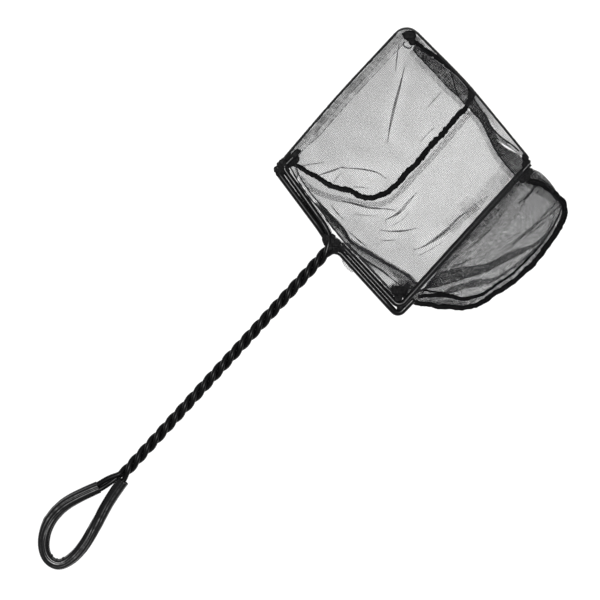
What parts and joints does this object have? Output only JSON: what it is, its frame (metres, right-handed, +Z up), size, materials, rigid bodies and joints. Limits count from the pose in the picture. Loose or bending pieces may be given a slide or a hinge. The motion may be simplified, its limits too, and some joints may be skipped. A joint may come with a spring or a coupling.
{
  "type": "aquarium fish net",
  "caption": "Hand-held aquarium fish net: twisted coated-wire handle with a sleeved finger loop, square wire hoop and a shallow black mesh bag with bound seams.",
  "frame": {"origin": "on the table, under the middle of the whole net's box", "axes": "+X from the finger loop along the handle to the hoop, +Y to the left of the handle, +Z up out of the mouth"},
  "size_m": [0.4366, 0.1754, 0.0314],
  "materials": {
    "coated_wire": "black dipped vinyl coat over steel wire, semi-gloss",
    "spring_wire": "thin black enamelled spring wire",
    "grip_vinyl": "soft black vinyl tubing, glossy, creased at the bend",
    "net_mesh": "fine open black nylon mesh",
    "hem_mesh": "the same mesh folded and stitched into a sleeve",
    "seam_tape": "narrow black woven binding tape"
  },
  "bodies": {
    "net_frame": {"handle_strand_a": "coated_wire", "handle_strand_b": "coated_wire", "handle_strand_c": "coated_wire", "finger_loop_wire": "coated_wire", "strand_tail": "coated_wire", "left_inner_wire": "coated_wire", "left_outer_wire": "coated_wire", "right_outer_wire": "coated_wire", "right_side_rail": "coated_wire", "hoop_spring_wire": "spring_wire", "grip_sleeve": "grip_vinyl", "left_panel": "net_mesh", "right_panel": "net_mesh", "centre_panel_near_wall": "net_mesh", "centre_panel_far_wall": "net_mesh", "left_hem": "hem_mesh", "far_hem": "hem_mesh", "right_hem": "hem_mesh", "near_hem": "hem_mesh", "corner_tacks": "seam_tape", "left_seam_near_riser": "seam_tape", "left_seam_far_riser": "seam_tape", "right_seam_far_riser": "seam_tape", "right_seam_near_riser": "seam_tape"},
    "bag_floor": {"centre_panel_floor": "net_mesh", "left_seam_floor": "seam_tape", "right_seam_floor": "seam_tape"}
  },
  "joints": [
    {"name": "bag_lift", "type": "slide", "parent": "net_frame", "child": "bag_floor", "axis": [0, 0, 1], "range_m": [0, 0.016], "deforming": ["left_panel", "right_panel", "centre_panel_near_wall", "centre_panel_far_wall", "left_seam_near_riser", "left_seam_far_riser", "right_seam_far_riser", "right_seam_near_riser"]}
  ]
}
